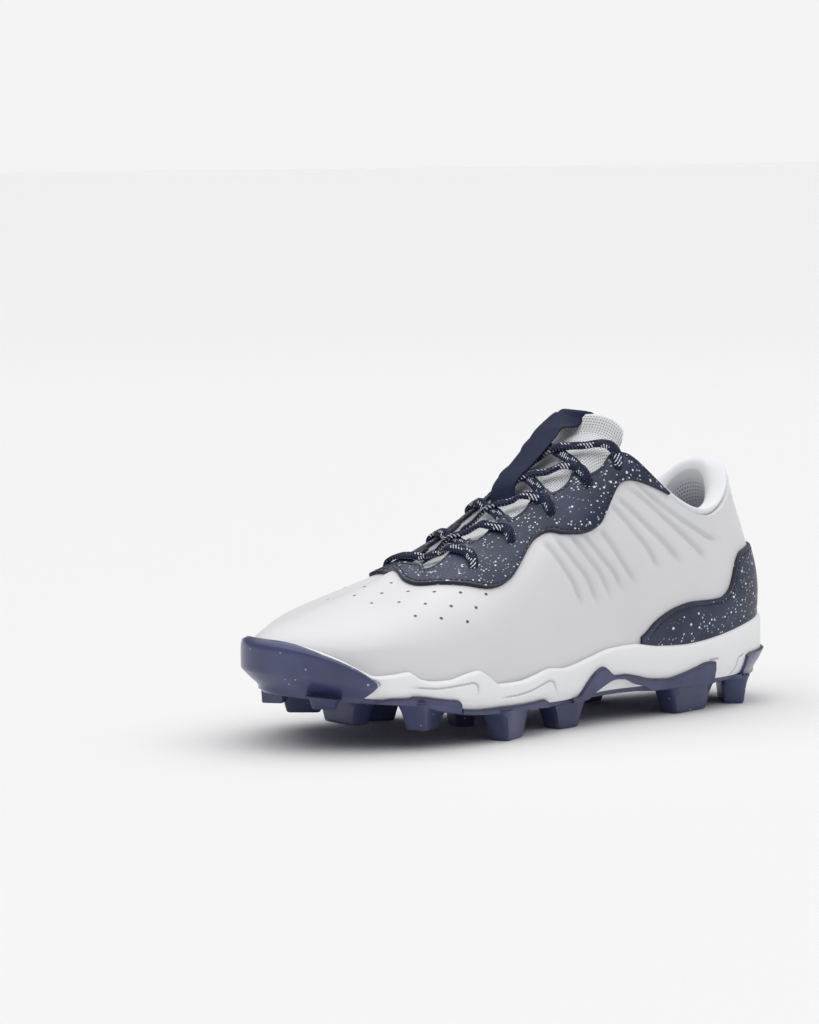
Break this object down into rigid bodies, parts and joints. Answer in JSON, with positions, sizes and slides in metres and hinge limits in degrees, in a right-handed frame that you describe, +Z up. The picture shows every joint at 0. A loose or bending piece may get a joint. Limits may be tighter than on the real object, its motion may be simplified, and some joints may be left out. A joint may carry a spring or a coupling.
{
  "type": "baseball cleat",
  "caption": "Low-cut moulded baseball cleat for the left foot: white upper, dark eyestay and heel counter, foam midsole and a rubber sole with tapered studs.",
  "frame": {"origin": "centre of the shoe's outline, on the ground under its studs", "axes": "+X to the outer side of the foot, +Y to the heel along the shoe's length, +Z up"},
  "size_m": [0.1044, 0.2914, 0.1393],
  "materials": {
    "clear_rubber": "smooth, slightly clear",
    "white_foam": "smooth moulded foam",
    "lining": "open mesh",
    "white_leather": "smooth synthetic leather, satin",
    "navy_overlay": "satin with a fine light speckle",
    "white_mesh": "fine mesh",
    "navy_webbing": "woven webbing",
    "navy_lace": "braided, with light flecks"
  },
  "bodies": {
    "root": {"outsole": "clear_rubber", "midsole": "white_foam", "insole": "lining", "upper": "white_leather", "eyestay": "navy_overlay", "heel_counter": "navy_overlay", "collar_pad": "lining", "tongue": "white_mesh", "tongue_strap": "navy_webbing", "lace_bar": "navy_lace", "lace_cross_1": "navy_lace", "lace_cross_2": "navy_lace", "lace_cross_3": "navy_lace", "lace_cross_4": "navy_lace"}
  },
  "joints": []
}
